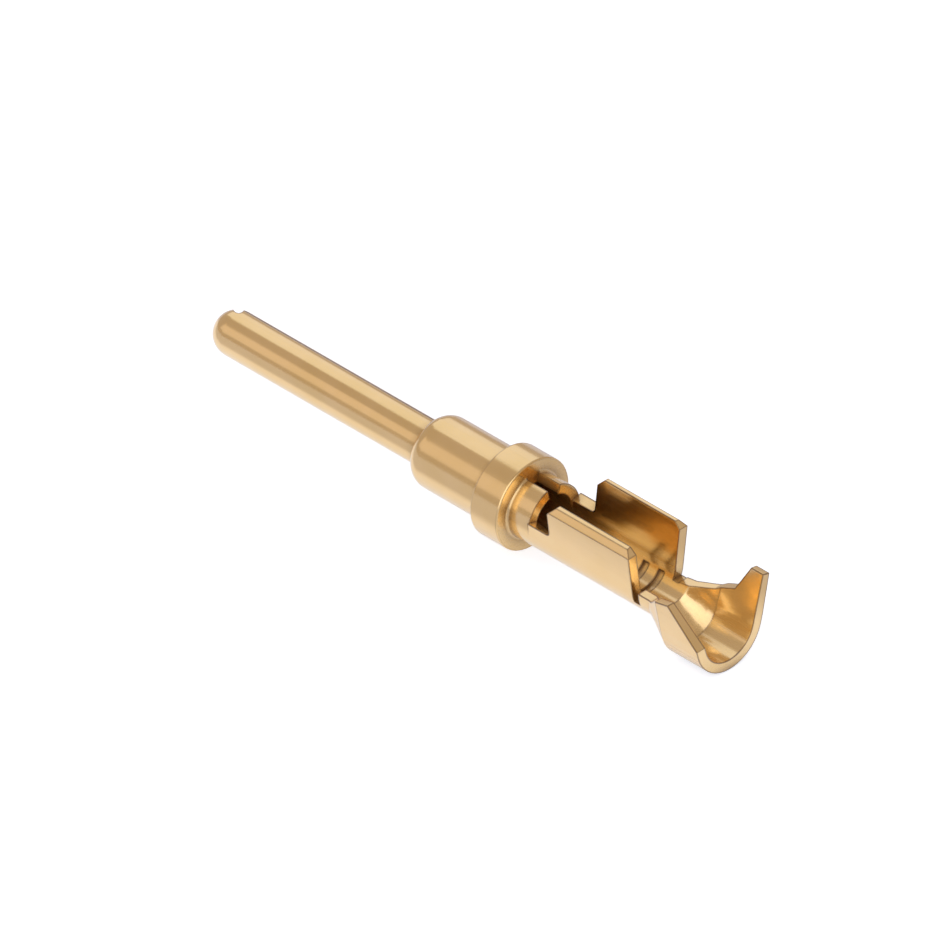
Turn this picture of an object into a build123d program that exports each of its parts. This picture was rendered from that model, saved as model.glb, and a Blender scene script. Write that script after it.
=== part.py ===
"""Crimp pin contact: one strip of sheet metal, rolled into a pin at the front
and left as two open crimp barrels at the rear.

Millimetres, +Z up. X runs along the pin axis, the pin pointing to -X and the
open barrels lying towards +X. The origin is on the axis, at the collar's rear face.
Near means the -Y side and far the +Y side.
"""

import os
from math import cos, radians, sin

from build123d import *

os.makedirs("parts", exist_ok=True)

# Driving dimensions of the rolled front

sheet = 0.235  # thickness of the strip

pin_diameter = 1.016
pin_length = 6.13  # tip to shoulder
seam_azimuth = 28  # degrees from the top towards the far side
seam_width = 0.03
seam_depth = 0.05
nose_nick_radius = 0.12  # of the round nick where the seam closes over the nose
nose_nick_depth = 0.08
nose_nick_tilt = 20.5  # degrees forward from square to the axis
nose_nick_heading = 38.6  # degrees from square across the seam

body_diameter = 1.647
body_length = 2.19
shoulder_length = 0.39  # of the arc that swells the pin out to the body

collar_diameter = 2.117
collar_length = 0.77
collar_edge = 0.03
collar_root_radius = 0.06

neck_diameter = 1.49
neck_length = 0.62
slot_azimuth = 13.7  # half the angle of the open seam on top of the neck

notch_length = 0.64
ledge_azimuth = 74.5  # from the top down to the ledges of the notch
notch_root_radius = 0.09

# Driving dimensions of the wire barrel

wire_barrel_length = 2.38
wire_lean = 7.4  # degrees that each wall leans out
wire_wall_height = 1.08  # up the wall, from level with the axis
wire_tip_bevel = 0.125  # taken off the outer edge, as deep as it is high
ear_corner_front = 0.19
ear_corner_rear = 0.15
serration_count = 3
serration_pitch = 0.445
serration_setback = 0.345  # rear end of the ears to the last groove
serration_width = 0.17
serration_depth = 0.06
serration_end_depth = 0.25  # below the axis, where each groove ends on both sides

# Driving dimensions of the waist and the insulation barrel

relief_length = 0.17  # gap behind each ear
relief_depth = 0.29  # below the axis
waist_length = 0.49
waist_height_near = 0.02
waist_depth_far = 0.27
cone_length = 0.55
cone_tilt = 10  # degrees that the front of the cone leans back

insulation_length = 1.04
insulation_radius = 0.938  # outside, round the floor
insulation_drop = 0.349  # axis down to the centre of that radius
insulation_lean = 14.7
insulation_wall_height = 1.17  # up the wall, from that centre
insulation_tip_thinning = 0.05  # the wall thins towards its tip
insulation_thinning_reach = 0.90
near_ear_foot_setback = 1.52  # front foot of the near ear, from the rear end
near_ear_front_setback = 1.04
near_ear_front_height = 0.45
near_ear_tip_setback = 0.66
near_ear_rear_depth = 0.41  # where its slanted rear edge meets the rear end
far_wall_setback = 1.14  # end of the low wall ahead of the far ear
far_wall_depth = 0.18
far_ear_foot_setback = 0.67
far_ear_tip_setback = 0.38

# Sizes that follow

pin_radius = pin_diameter / 2
body_radius = body_diameter / 2
collar_radius = collar_diameter / 2
neck_radius = neck_diameter / 2

x_collar_front = -collar_length
x_shoulder = x_collar_front - body_length
x_tip = x_shoulder - pin_length
x_nose = x_tip + pin_radius
x_notch = neck_length
x_wire = x_notch + notch_length
x_wire_end = x_wire + wire_barrel_length
x_cone = x_wire_end + waist_length
x_insulation = x_cone + cone_length
x_rear = x_insulation + insulation_length

wire_tip_height = (
    wire_wall_height * cos(radians(wire_lean))
    - (neck_radius - sheet) * sin(radians(wire_lean))
)
insulation_tip_height = (
    insulation_wall_height * cos(radians(insulation_lean))
    - insulation_radius * sin(radians(insulation_lean))
    - insulation_drop
)
overlap = 0.02
beyond = 3 * collar_radius


def turned_profile(inset):
    """Half section of the rolled front, drawn a distance inside its outer surface."""
    nose = pin_radius - inset
    body = body_radius - inset
    collar = collar_radius - inset
    neck = neck_radius - inset
    with BuildSketch(Plane.XZ) as profile:
        with BuildLine():
            arc = CenterArc((x_nose, 0), nose, 90, 90)
            shoulder = TangentArc(
                (x_shoulder + shoulder_length, body), (x_shoulder + inset, nose), tangent=(-1, 0)
            )
            Line(arc @ 0, shoulder @ 1)
            Polyline(
                shoulder @ 0,
                (x_collar_front + inset, body),
                (x_collar_front + inset, collar),
                (-inset, collar),
                (-inset, neck),
                (x_notch, neck),
                (x_notch, 0),
                arc @ 1,
            )
        make_face()
        if inset == 0:
            rims = profile.vertices().filter_by(lambda v: abs(v.Y - collar_radius) < overlap)
            fillet(rims, collar_edge)
            root = profile.vertices().filter_by(
                lambda v: abs(v.Y - neck) < overlap and abs(v.X) < overlap
            )
            fillet(root, collar_root_radius)
    return profile.sketch


def channel_section(x, radius, drop, lean, height, thinning, reach):
    """Section of the bent strip: a round floor and two walls that lean out.

    Each wall gets thinner on its outside, all at once or over a long reach, up to its tip.
    """
    slope = radians(lean)
    inner = radius - sheet

    def on_wall(wall_radius, up):
        y = wall_radius * cos(slope) + up * sin(slope)
        z = up * cos(slope) - wall_radius * sin(slope) - drop
        return (y, z)

    outer_foot = on_wall(radius, 0)
    inner_foot = on_wall(inner, 0)
    with BuildSketch(Plane.YZ.offset(x)) as section:
        with BuildLine():
            wall = Polyline(
                outer_foot,
                on_wall(radius, height - reach),
                on_wall(radius - thinning, height),
                on_wall(inner, height),
                inner_foot,
            )
            mirror(wall, about=Plane.YZ)
            ThreePointArc(outer_foot, (0, -radius - drop), (-outer_foot[0], outer_foot[1]))
            ThreePointArc(inner_foot, (0, -inner - drop), (-inner_foot[0], inner_foot[1]))
        make_face()
    return section.sketch


def clear_top(x, azimuth, length):
    """Clear what lies above two radial faces, each an angle down from the top."""
    y = beyond
    z = beyond / sin(radians(azimuth)) * cos(radians(azimuth))
    with BuildSketch(Plane.YZ.offset(x)) as wedge:
        with BuildLine():
            Polyline((0, 0), (y, z), (y, z + beyond), (-y, z + beyond), (-y, z), (0, 0))
        make_face()
    extrude(wedge.sketch, amount=length, mode=Mode.SUBTRACT)


def trim_wall(side, edge):
    """Shear one wall down to its edge line; side is -1 near and 1 far."""
    first = edge[0][0]
    last = edge[-1][0]
    with BuildSketch(Plane.XZ) as waste:
        with BuildLine():
            Polyline(*edge, (last, beyond), (first, beyond), edge[0])
        make_face()
    extrude(waste.sketch, amount=-side * beyond, mode=Mode.SUBTRACT)


# Rolled front: pin, body, collar and neck, hollow as the rolled strip is
with BuildPart() as front:
    revolve(turned_profile(0), axis=Axis.X)
    revolve(turned_profile(sheet), axis=Axis.X, mode=Mode.SUBTRACT)
    clear_top(0, slot_azimuth, x_notch)

# Straight channel from the notch to the cone, whose front leans back
with BuildPart() as straight:
    extrude(
        channel_section(
            x_notch, neck_radius, 0, wire_lean, wire_wall_height, wire_tip_bevel, wire_tip_bevel
        ),
        amount=x_insulation - x_notch,
    )
    split(bisect_by=Plane((x_cone, 0, 0), z_dir=(1, 0, 0)).rotated((0, cone_tilt, 0)), keep=Keep.BOTTOM)

# Cone and insulation barrel join the straight channel, and the walls are sheared to their edges
with BuildPart() as barrels:
    add(straight.part)
    rear_section = channel_section(
        x_insulation,
        insulation_radius,
        insulation_drop,
        insulation_lean,
        insulation_wall_height,
        insulation_tip_thinning,
        insulation_thinning_reach,
    )
    loft(sections=[straight.faces().sort_by(Axis.X)[-1], rear_section.face()])
    extrude(rear_section, amount=insulation_length)
    clear_top(x_notch, ledge_azimuth, notch_length)

    ear_edge = [
        (x_wire, wire_tip_height - ear_corner_front),
        (x_wire + ear_corner_front + overlap, wire_tip_height + overlap),
        (x_wire_end - ear_corner_rear - overlap, wire_tip_height + overlap),
        (x_wire_end, wire_tip_height - ear_corner_rear),
        (x_wire_end, -relief_depth),
        (x_wire_end + relief_length, -relief_depth),
    ]
    near_edge = [
        (x_wire_end + relief_length, waist_height_near),
        (x_rear - near_ear_foot_setback, waist_height_near),
        (x_rear - near_ear_front_setback, near_ear_front_height),
        (x_rear - near_ear_tip_setback, insulation_tip_height),
        (x_rear, -near_ear_rear_depth),
        (x_rear + overlap, -near_ear_rear_depth),
    ]
    far_slope_x = far_ear_foot_setback - far_ear_tip_setback
    far_edge = [
        (x_wire_end + relief_length, -waist_depth_far),
        (x_rear - far_wall_setback, -far_wall_depth),
        (x_rear - far_ear_foot_setback, 0),
        (x_rear - far_ear_tip_setback, insulation_tip_height),
        (x_rear - far_ear_tip_setback + far_slope_x, 2 * insulation_tip_height),
        (x_rear + overlap, 2 * insulation_tip_height),
    ]
    trim_wall(-1, ear_edge + near_edge)
    trim_wall(1, ear_edge + far_edge)

    # Rounded roots where the front edges of the ears rise from the ledges
    ledge_z = (neck_radius - sheet / 2) * cos(radians(ledge_azimuth))
    roots = barrels.edges().filter_by(
        lambda e: abs(e.center().X - x_wire) < overlap
        and abs(e.center().Z - ledge_z) < sheet / 4
        and abs(e.length - sheet) < sheet / 4
    )
    fillet(roots, notch_root_radius)

    # Serration grooves across the floor of the wire barrel, which end below its walls
    last_groove = x_wire_end - serration_setback
    groove_radius = neck_radius - sheet + serration_depth
    for groove in range(serration_count):
        x = last_groove - groove * serration_pitch
        with BuildSketch(Plane.YZ.offset(x - serration_width / 2)):
            Circle(groove_radius)
            with Locations((0, -serration_end_depth)):
                Rectangle(
                    2 * groove_radius,
                    2 * groove_radius,
                    align=(Align.CENTER, Align.MIN),
                    mode=Mode.SUBTRACT,
                )
        extrude(amount=serration_width, mode=Mode.SUBTRACT)

with BuildPart() as pin_contact:
    add(front.part)
    add(barrels.part)

    # Closed seam along the pin
    seam_normal = Vector(0, 0, 1).rotate(Axis.X, -seam_azimuth)
    seam_plane = Plane((x_nose, 0, 0), x_dir=(1, 0, 0), z_dir=seam_normal)
    with BuildSketch(seam_plane.offset(pin_radius - seam_depth)):
        with Locations(((x_shoulder - x_nose) / 2, 0)):
            Rectangle(x_shoulder - x_nose, seam_width)
    extrude(amount=seam_depth + overlap, mode=Mode.SUBTRACT)

    # Round nick where the seam closes over the nose
    across_seam = seam_plane.y_dir
    nick_normal = seam_normal.rotate(Axis((0, 0, 0), across_seam), -nose_nick_tilt)
    nick_run = across_seam.rotate(Axis((0, 0, 0), nick_normal), nose_nick_heading)
    with BuildSketch(Plane((x_nose, 0, 0), x_dir=nick_normal, z_dir=nick_run)):
        with Locations((pin_radius - nose_nick_depth + nose_nick_radius, 0)):
            Circle(nose_nick_radius)
    extrude(amount=pin_radius, both=True, mode=Mode.SUBTRACT)

pin_contact.part.label = "pin_contact"
export_step(pin_contact.part, "parts/pin_contact.step")
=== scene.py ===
# %% [markdown]
# # Crimp pin contact
# The real object is a single strip of thin copper alloy, about fifteen millimetres long. Its front
# is rolled into a pin and a collared body, and its rear is left open as two crimp barrels. It is
# plated with gold all over after stamping, so one material covers everything: polished gold.
# The solid already has every fold and edge, so this script gives it its finish, sets it on a pale
# floor and lights it softly enough that the polished surfaces show clean bands.

from math import pi, sqrt

import bpy
import bmesh
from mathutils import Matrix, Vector


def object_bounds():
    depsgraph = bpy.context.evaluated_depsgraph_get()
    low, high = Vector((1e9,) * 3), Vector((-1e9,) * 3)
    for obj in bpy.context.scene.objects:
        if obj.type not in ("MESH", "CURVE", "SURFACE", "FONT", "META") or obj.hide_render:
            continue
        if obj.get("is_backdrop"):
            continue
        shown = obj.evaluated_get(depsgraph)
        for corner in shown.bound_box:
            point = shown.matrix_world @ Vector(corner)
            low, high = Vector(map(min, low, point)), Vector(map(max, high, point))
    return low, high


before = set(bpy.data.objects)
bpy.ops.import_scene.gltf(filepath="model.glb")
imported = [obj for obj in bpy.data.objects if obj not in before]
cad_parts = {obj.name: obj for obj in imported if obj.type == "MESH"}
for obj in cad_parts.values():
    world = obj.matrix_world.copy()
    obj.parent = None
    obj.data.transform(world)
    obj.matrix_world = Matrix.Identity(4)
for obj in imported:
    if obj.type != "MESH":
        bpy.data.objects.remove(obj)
cad_low, cad_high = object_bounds()
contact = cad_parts["pin_contact"]
MM = 0.001

print("nodes:", sorted(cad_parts), "faces:", len(contact.data.polygons))
print("box in mm:", [round(v / MM, 3) for v in cad_low], [round(v / MM, 3) for v in cad_high])

# %% [markdown]
# ## Helpers for the shader graph
# A plated surface is built from several layers of small variation, and each layer should stay a
# readable line or two. So there is one helper for any node, one for an empty material, and three
# for the steps that come again and again: change a range, take the larger value, mix in a colour.
# In each of them, at is the node's place in the shader editor, so the graph can be read there too.


# %% Shader helpers
def add_node(tree, kind, at, **inputs):
    """Makes a shader node, places it in the editor and sets its inputs by name."""
    node = tree.nodes.new(kind)
    node.location = at
    for name, value in inputs.items():
        node.inputs[name.replace("_", " ")].default_value = value
    return node


def new_material(name):
    """An empty node material."""
    material = bpy.data.materials.new(name)
    material.use_nodes = True
    material.node_tree.nodes.clear()
    return material


def change_range(tree, at, value, old, new):
    """Carries a value from its old range to a new one, and stops it at both ends."""
    node = add_node(
        tree, "ShaderNodeMapRange", at,
        From_Min=old[0], From_Max=old[1], To_Min=new[0], To_Max=new[1],
    )
    tree.links.new(value, node.inputs["Value"])
    return node.outputs["Result"]


def larger(tree, at, first, second):
    """The larger one of two values."""
    node = add_node(tree, "ShaderNodeMath", at)
    node.operation = "MAXIMUM"
    tree.links.new(first, node.inputs[0])
    tree.links.new(second, node.inputs[1])
    return node.outputs["Value"]


def mix_in(tree, at, amount, under, color):
    """Mixes a colour over what lies under it, by a linked amount."""
    node = add_node(tree, "ShaderNodeMix", at)
    node.data_type = "RGBA"
    sockets = {socket.identifier: socket for socket in node.inputs}
    tree.links.new(amount, sockets["Factor_Float"])
    tree.links.new(under, sockets["A_Color"])
    sockets["B_Color"].default_value = color
    return next(socket for socket in node.outputs if socket.identifier == "Result_Color")


print("helpers ready")

# %% [markdown]
# ## Gold plating over rolled strip
# Bright gold is electroplated over nickel, and the strip underneath keeps the faint long lines of
# the rolling mill and of the forming tools. So the colour hardly changes, and the life of the
# surface is in its gloss: long fine lines along X and a very fine grain. Slow waves stand for
# plate that is a little thicker or thinner. The lines come from noise that is stretched along X in
# the part's own coordinates, which are taken in millimetres.

# %% Coordinates in millimetres
plating = new_material("gold_plated_strip")
tree = plating.node_tree

place = add_node(tree, "ShaderNodeTexCoord", (-1700, 0))
in_mm = add_node(tree, "ShaderNodeMapping", (-1500, 0), Scale=(1 / MM, 1 / MM, 1 / MM))
tree.links.new(place.outputs["Object"], in_mm.inputs["Vector"])
print("coordinates scaled by", 1 / MM)

# %% Rolling lines, grain and waves
LINE_STRETCH = (0.35, 14, 14)
GRAIN_SCALE = 38.0
WAVE_SCALE = 1.3

stretched = add_node(tree, "ShaderNodeMapping", (-1300, 200), Scale=LINE_STRETCH)
tree.links.new(in_mm.outputs["Vector"], stretched.inputs["Vector"])

rolling_lines = add_node(
    tree, "ShaderNodeTexNoise", (-1100, 200), Scale=1.0, Detail=4.0, Roughness=0.6
)
tree.links.new(stretched.outputs["Vector"], rolling_lines.inputs["Vector"])
grain = add_node(
    tree, "ShaderNodeTexNoise", (-1100, -50), Scale=GRAIN_SCALE, Detail=3.0, Roughness=0.55
)
tree.links.new(in_mm.outputs["Vector"], grain.inputs["Vector"])
waves = add_node(
    tree, "ShaderNodeTexNoise", (-1100, -300), Scale=WAVE_SCALE, Detail=2.0, Roughness=0.5
)
tree.links.new(in_mm.outputs["Vector"], waves.inputs["Vector"])
print("layers:", [node.bl_label for node in (rolling_lines, grain, waves)])

# %% [markdown]
# The colour is the plate's own reflectance: a warm gold with a little red from the copper under
# the thin plate. Where the plate is thinner, which drifts slowly over the part, it turns a touch
# paler. The two tones are close, because a larger difference would look like dirt.

# %% Colour of the plate
FULL_PLATE = (0.93, 0.675, 0.30, 1)
THIN_PLATE = (0.96, 0.705, 0.34, 1)
FULL_AT = 0.35
THIN_AT = 0.65

tone = add_node(tree, "ShaderNodeValToRGB", (-800, -300))
full_end, thin_end = tone.color_ramp.elements
full_end.position = FULL_AT
full_end.color = FULL_PLATE
thin_end.position = THIN_AT
thin_end.color = THIN_PLATE
tree.links.new(waves.outputs["Fac"], tone.inputs["Fac"])
print("plate tones:", FULL_PLATE[:3], THIN_PLATE[:3])

# %% [markdown]
# Painted shade: the inside of the barrels is coloured darker and browner than the outside, standing
# in for the light that reaches it less. Ambient occlusion finds such places, because it tells how open
# the
# surface is: with a reach of a millimetre it finds the barrels, and with a quarter of that it finds
# the inner corners, the grooves and the root of the neck, where the painted shade is strongest.
# Each pair below gives the openness where the effect is full and where it is gone.

# %% Painted shade inside the barrels
OPENNESS_SAMPLES = 6
BARREL_REACH = 1.0 * MM
BARREL_OPENNESS = (0.35, 0.80)
BARREL_SHADE_PEAK = 0.42
BARREL_SHADE_COLOR = (0.38, 0.22, 0.04, 1)

barrel_openness = add_node(
    tree, "ShaderNodeAmbientOcclusion", (-1000, -1100), Distance=BARREL_REACH
)
barrel_openness.samples = OPENNESS_SAMPLES
inside = change_range(
    tree, (-800, -1100), barrel_openness.outputs["AO"], BARREL_OPENNESS, (BARREL_SHADE_PEAK, 0)
)
# Painted shade: the barrel colour is mixed toward dark brown by how enclosed the surface is.
barrel_shaded = mix_in(tree, (-450, -300), inside, tone.outputs["Color"], BARREL_SHADE_COLOR)
print("barrels: reach in mm", BARREL_REACH / MM, "mixed in", BARREL_SHADE_PEAK)

# %% Painted shade in the creases
CREASE_REACH = 0.25 * MM
CREASE_OPENNESS = (0.45, 0.94)
CREASE_SHADE_PEAK = 0.95

crease_openness = add_node(
    tree, "ShaderNodeAmbientOcclusion", (-1000, -900), Distance=CREASE_REACH
)
crease_openness.samples = OPENNESS_SAMPLES
# Painted shade: the less open a crease is, the more of the dark line colour goes into it.
crease_shade = change_range(
    tree, (-800, -900), crease_openness.outputs["AO"], CREASE_OPENNESS, (CREASE_SHADE_PEAK, 0)
)
print("creases: reach in mm", CREASE_REACH / MM, "mixed in", CREASE_SHADE_PEAK)

# %% [markdown]
# The strip is sheared to its outline before it is bent, which leaves a narrow rolled-over edge. It
# is too small to see as a shape, but it turns away from the light, and that shade is painted into
# the colour as a fine brown line along every sharp edge. The Bevel node gives the normal of such a
# rounded edge. The dot product with the flat face's own normal is 1 on the flat and falls where the
# edge rolls over, so it says where the painted shade line goes. The same rounded normal goes into the
# relief below.

# %% Painted shade lines along the sheared edges
EDGE_RADIUS = 0.06 * MM
EDGE_SAMPLES = 8
EDGE_TURN = (0.94, 0.998)
SHADE_LINE_COLOR = (0.27, 0.15, 0.05, 1)

flat_face = add_node(tree, "ShaderNodeNewGeometry", (-1500, -600))
rolled_edge = add_node(tree, "ShaderNodeBevel", (-1500, -750), Radius=EDGE_RADIUS)
rolled_edge.samples = EDGE_SAMPLES
turn = add_node(tree, "ShaderNodeVectorMath", (-1000, -700))
turn.operation = "DOT_PRODUCT"
tree.links.new(flat_face.outputs["Normal"], turn.inputs[0])
tree.links.new(rolled_edge.outputs["Normal"], turn.inputs[1])
# Painted shade: a fine dark line where the edge rolls over.
edge_shade = change_range(tree, (-800, -700), turn.outputs["Value"], EDGE_TURN, (1, 0))

# Painted shade of the creases and the edges, mixed into the plate colour.
painted_line_shade = larger(tree, (-600, -800), crease_shade, edge_shade)
plate_color = mix_in(tree, (-200, -300), painted_line_shade, barrel_shaded, SHADE_LINE_COLOR)
print("edge radius in mm:", round(EDGE_RADIUS / MM, 3))

# %% [markdown]
# ## Gloss and relief
# Gloss follows the same layers. The lines of the strip change the roughness a little. The inside
# of the barrels, which no polish reaches, is rougher by three quarters of the mask that paints its
# shade, so its reflections of the walls run together softly.
# A weak bump lets the lines and the grain bend the reflections, as they do on rolled metal under a
# lens. A thin clear coat stands for the smooth top of the plate: it adds the sharper, paler
# reflection that bright gold has over its soft one, most of all at a low angle.

# %% Roughness
LINE_RANGE = (0.3, 0.7)
ROUGHNESS_RANGE = (0.13, 0.22)
UNPOLISHED_INSIDE = 0.75

polished = change_range(
    tree, (-600, 150), rolling_lines.outputs["Fac"], LINE_RANGE, ROUGHNESS_RANGE
)
roughness = add_node(tree, "ShaderNodeMath", (-350, 150))
roughness.operation = "MULTIPLY_ADD"
tree.links.new(inside, roughness.inputs[0])
roughness.inputs[1].default_value = UNPOLISHED_INSIDE
tree.links.new(polished, roughness.inputs[2])
print("roughness outside:", ROUGHNESS_RANGE, "inside up to", UNPOLISHED_INSIDE * BARREL_SHADE_PEAK, "more")

# %% Relief
line_relief = add_node(
    tree, "ShaderNodeBump", (-350, -550), Strength=0.05, Distance=0.02 * MM
)
tree.links.new(rolled_edge.outputs["Normal"], line_relief.inputs["Normal"])
tree.links.new(rolling_lines.outputs["Fac"], line_relief.inputs["Height"])
grain_relief = add_node(
    tree, "ShaderNodeBump", (-150, -550), Strength=0.04, Distance=0.01 * MM
)
tree.links.new(line_relief.outputs["Normal"], grain_relief.inputs["Normal"])
tree.links.new(grain.outputs["Fac"], grain_relief.inputs["Height"])
print("relief over the rolled edge:", [node.bl_label for node in (line_relief, grain_relief)])

# %% The finished plating
gold = add_node(
    tree, "ShaderNodeBsdfPrincipled", (100, 0),
    Metallic=1.0, Coat_Weight=1.0, Coat_IOR=1.7, Coat_Roughness=0.08,
)
tree.links.new(plate_color, gold.inputs["Base Color"])
tree.links.new(roughness.outputs["Value"], gold.inputs["Roughness"])
tree.links.new(grain_relief.outputs["Normal"], gold.inputs["Normal"])
surface = add_node(tree, "ShaderNodeOutputMaterial", (400, 0))
tree.links.new(gold.outputs["BSDF"], surface.inputs["Surface"])

for slot in contact.material_slots:
    slot.material = plating
print("slots dressed:", len(contact.material_slots), "nodes:", len(tree.nodes))

# %% [markdown]
# ## Camera
# The photograph looks along a diagonal, from +X, -Y and above, with all three axes equally
# foreshortened and no perspective. So the camera is orthographic, and its width follows from the
# size of the part in the picture, 48.7 pixels a millimetre.
# The camera is aimed by one known point, the centre of the round nose. In this view a millimetre
# along X goes 1/sqrt(2) to the right and 1/sqrt(6) down, and a millimetre up Z goes 2/sqrt(6) up.
# That gives the point on the plane y = 0 that lies in the middle of the picture.

# %% Where the camera looks
PICTURE = 950
PIXELS_PER_MM = 48.7
NOSE_X = -8.582
NOSE_PIXEL = (237.1, 333.7)

right_of_nose = (PICTURE / 2 - NOSE_PIXEL[0]) / PIXELS_PER_MM
below_nose = (PICTURE / 2 - NOSE_PIXEL[1]) / PIXELS_PER_MM
step_x = right_of_nose * sqrt(2)
step_z = (step_x - below_nose * sqrt(6)) / 2
target = Vector((NOSE_X + step_x, 0, step_z)) * MM
print("target in mm:", [round(v / MM, 3) for v in target])

# %% Camera
CAMERA_DISTANCE = 0.25
NEAREST = 0.001
FARTHEST = 2.0

to_camera = Vector((1, -1, 1)).normalized()

camera_data = bpy.data.cameras.new("camera")
camera_data.type = "ORTHO"
camera_data.ortho_scale = PICTURE / PIXELS_PER_MM * MM
camera_data.clip_start = NEAREST
camera_data.clip_end = FARTHEST
camera = bpy.data.objects.new("camera", camera_data)
camera.location = target + to_camera * CAMERA_DISTANCE
camera.rotation_euler = to_camera.to_track_quat("Z", "Y").to_euler()

scene = bpy.context.scene
scene.collection.objects.link(camera)
scene.camera = camera
scene.view_settings.view_transform = "Standard"
print("camera width in mm:", round(camera_data.ortho_scale / MM, 3))

# %% [markdown]
# The barrels are deep mirrors that throw light from wall to wall, so Cycles gets more bounces than
# its usual four. With four, the inside of the neck and of both barrels turns black.

# %% Bounces
GLOSSY_BOUNCES = 12
ALL_BOUNCES = 16

scene.cycles.glossy_bounces = GLOSSY_BOUNCES
scene.cycles.max_bounces = ALL_BOUNCES
print("bounces:", GLOSSY_BOUNCES, "glossy of", ALL_BOUNCES)

# %% [markdown]
# ## Floor
# A plain white board lies under the part. Its diffuse colour is lit by the room and takes the soft
# shadow of the part. Light of its own lifts it to paper white for the camera.
# In the polished metal the board shows with less of that light, as a painted pool of light that is
# strongest close beside the part, where bright metal would throw light back on it. Further out it
# falls off to a light grey, and that gives the pin and the body the second of their two darker bands.

# %% White board
BOARD_HALF = 1.5
CLEARANCE = 0.02 * MM

board_mesh = bpy.data.meshes.new("floor")
board = bmesh.new()
bmesh.ops.create_grid(board, x_segments=1, y_segments=1, size=BOARD_HALF)
board.to_mesh(board_mesh)
board.free()
floor = bpy.data.objects.new("floor", board_mesh)
scene.collection.objects.link(floor)
floor.location.z = cad_low.z - CLEARANCE
floor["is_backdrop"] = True
print("floor at mm:", round(floor.location.z / MM, 3))

# %% Rays that see the board's own light
paper = new_material("paper_white")
tree = paper.node_tree
rays = add_node(tree, "ShaderNodeLightPath", (-800, 200))
camera_or_gloss = larger(
    tree, (-500, 250), rays.outputs["Is Camera Ray"], rays.outputs["Is Glossy Ray"]
)
seen = larger(tree, (-300, 200), camera_or_gloss, rays.outputs["Is Transmission Ray"])
print("its light is seen by camera, glossy and transmission rays")

# %% How much of it they see
GLOW_IN_CAMERA = 0.68
GLOW_BESIDE = 0.35
GLOW_BEYOND = 0.03
BESIDE = 1.6 * MM
BEYOND = 2.5 * MM

board_place = add_node(tree, "ShaderNodeTexCoord", (-1200, -150))
board_axes = add_node(tree, "ShaderNodeSeparateXYZ", (-1000, -150))
tree.links.new(board_place.outputs["Object"], board_axes.inputs["Vector"])
aside = add_node(tree, "ShaderNodeMath", (-800, -150))
aside.operation = "ABSOLUTE"
tree.links.new(board_axes.outputs["Y"], aside.inputs[0])
# Painted pool of light: the glow seen in the metal is strongest beside the part and fades further out.
in_metal = change_range(
    tree, (-600, -150), aside.outputs["Value"], (BESIDE, BEYOND), (GLOW_BESIDE, GLOW_BEYOND)
)
in_camera = change_range(
    tree, (-600, -350), rays.outputs["Is Camera Ray"], (0, 1), (0, GLOW_IN_CAMERA)
)
glow_strength = larger(tree, (-400, -150), in_metal, in_camera)
print("glow in the metal:", GLOW_BESIDE, "to", GLOW_BEYOND, "in the camera:", GLOW_IN_CAMERA)

# %% The board's surface
BOARD_WHITE = (0.79, 0.81, 0.90, 1)
GLOW_TINT = (0.88, 0.94, 1, 1)

lit = add_node(tree, "ShaderNodeBsdfDiffuse", (-200, 0), Color=BOARD_WHITE)
glow = add_node(tree, "ShaderNodeEmission", (-200, -150), Color=GLOW_TINT)
tree.links.new(glow_strength, glow.inputs["Strength"])
both = add_node(tree, "ShaderNodeAddShader", (0, -50))
tree.links.new(lit.outputs["BSDF"], both.inputs[0])
tree.links.new(glow.outputs["Emission"], both.inputs[1])
choice = add_node(tree, "ShaderNodeMixShader", (200, 100))
tree.links.new(seen, choice.inputs["Fac"])
tree.links.new(lit.outputs["BSDF"], choice.inputs[1])
tree.links.new(both.outputs["Shader"], choice.inputs[2])
board_surface = add_node(tree, "ShaderNodeOutputMaterial", (400, 100))
tree.links.new(choice.outputs["Shader"], board_surface.inputs["Surface"])
floor.data.materials.append(paper)
print("board dressed:", paper.name, "nodes:", len(tree.nodes))

# %% [markdown]
# ## Light
# Polished metal shows the room rather than the lamps, so the room is what gets designed. A warm
# world at half strength gives the darker bands along the pin and the body.
# To the camera the world is plain white, so the background stays white where a low view looks past
# the board. In the metal it keeps its own tone, because white there would wipe out those bands.

# %% World
ROOM_TONE = (1, 0.83, 0.71, 1)
ROOM_STRENGTH = 0.5
PAPER_WHITE = (1, 1, 1, 1)

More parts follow.
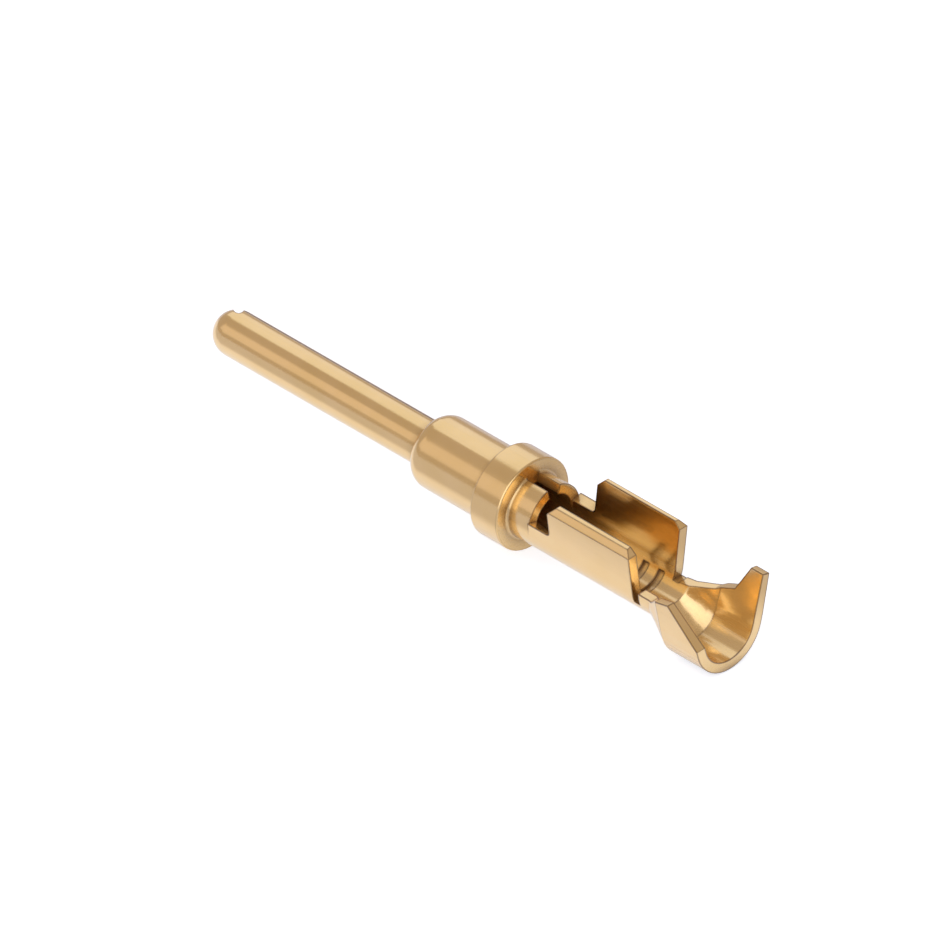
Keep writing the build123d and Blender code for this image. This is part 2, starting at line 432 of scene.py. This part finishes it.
room = bpy.data.worlds.new("studio")
room.use_nodes = True
tree = room.node_tree
tree.nodes.clear()
room_rays = add_node(tree, "ShaderNodeLightPath", (-400, 200))
room_light = add_node(
    tree, "ShaderNodeBackground", (-200, 0), Color=ROOM_TONE, Strength=ROOM_STRENGTH
)
white = add_node(tree, "ShaderNodeBackground", (-200, -150), Color=PAPER_WHITE, Strength=1.0)
room_choice = add_node(tree, "ShaderNodeMixShader", (0, 0))
tree.links.new(room_rays.outputs["Is Camera Ray"], room_choice.inputs["Fac"])
tree.links.new(room_light.outputs["Background"], room_choice.inputs[1])
tree.links.new(white.outputs["Background"], room_choice.inputs[2])
room_output = add_node(tree, "ShaderNodeOutputWorld", (200, 0))
tree.links.new(room_choice.outputs["Shader"], room_output.inputs["Surface"])
scene.world = room
print("room tone:", ROOM_TONE[:3], "strength:", ROOM_STRENGTH)

# %% [markdown]
# Each panel is one band in the metal. A cooler one high on the far left gives the pale band near
# the upper outline, and a dimmer warm one on the near left gives the band along the middle. The key
# is very large and dim and stands on the near side. It lights the floor, and its reflection spreads
# too wide to leave a hard spot in the barrels.
# A panel's power is worked out from its radiance, the brightness that its surface has in the metal,
# so a panel can be made larger or smaller without changing how bright its band looks.


# %% Helper for a panel
def soft_panel(name, direction, distance, width, height, radiance, color):
    """A rectangular lamp that faces the part from a direction, as bright as its radiance says."""
    data = bpy.data.lights.new(name, "AREA")
    data.shape = "RECTANGLE"
    data.size = width
    data.size_y = height
    data.energy = radiance * pi * width * height
    data.color = color
    panel = bpy.data.objects.new(name, data)
    heading = Vector(direction).normalized()
    panel.location = target + heading * distance
    panel.rotation_euler = heading.to_track_quat("Z", "Y").to_euler()
    scene.collection.objects.link(panel)
    print(name, "at mm:", [round(v / MM, 1) for v in panel.location])


print("panel helper ready")

# %% Three soft panels
soft_panel(
    "panel_far_left", direction=(-0.577, 0.48, 0.66), distance=0.30,
    width=0.22, height=0.26, radiance=0.47, color=(0.80, 0.89, 1),
)
soft_panel(
    "panel_near_left", direction=(-0.577, -0.67, 0.47), distance=0.30,
    width=0.22, height=0.14, radiance=0.25, color=(1, 0.87, 0.82),
)
soft_panel(
    "panel_key", direction=(0.38, -0.74, 0.55), distance=0.50,
    width=0.85, height=0.65, radiance=0.95, color=(0.97, 0.97, 1),
)

# %% [markdown]
# ## Finish
# The box of the dressed part is compared with the box of the solid, and whether they are the same is
# printed.

# %% Compare the two boxes and finish
SAME_WITHIN = 0.0001 * MM

shown_low, shown_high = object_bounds()
low_moved = (shown_low - cad_low).length
high_moved = (shown_high - cad_high).length
print("same box:", max(low_moved, high_moved) < SAME_WITHIN)
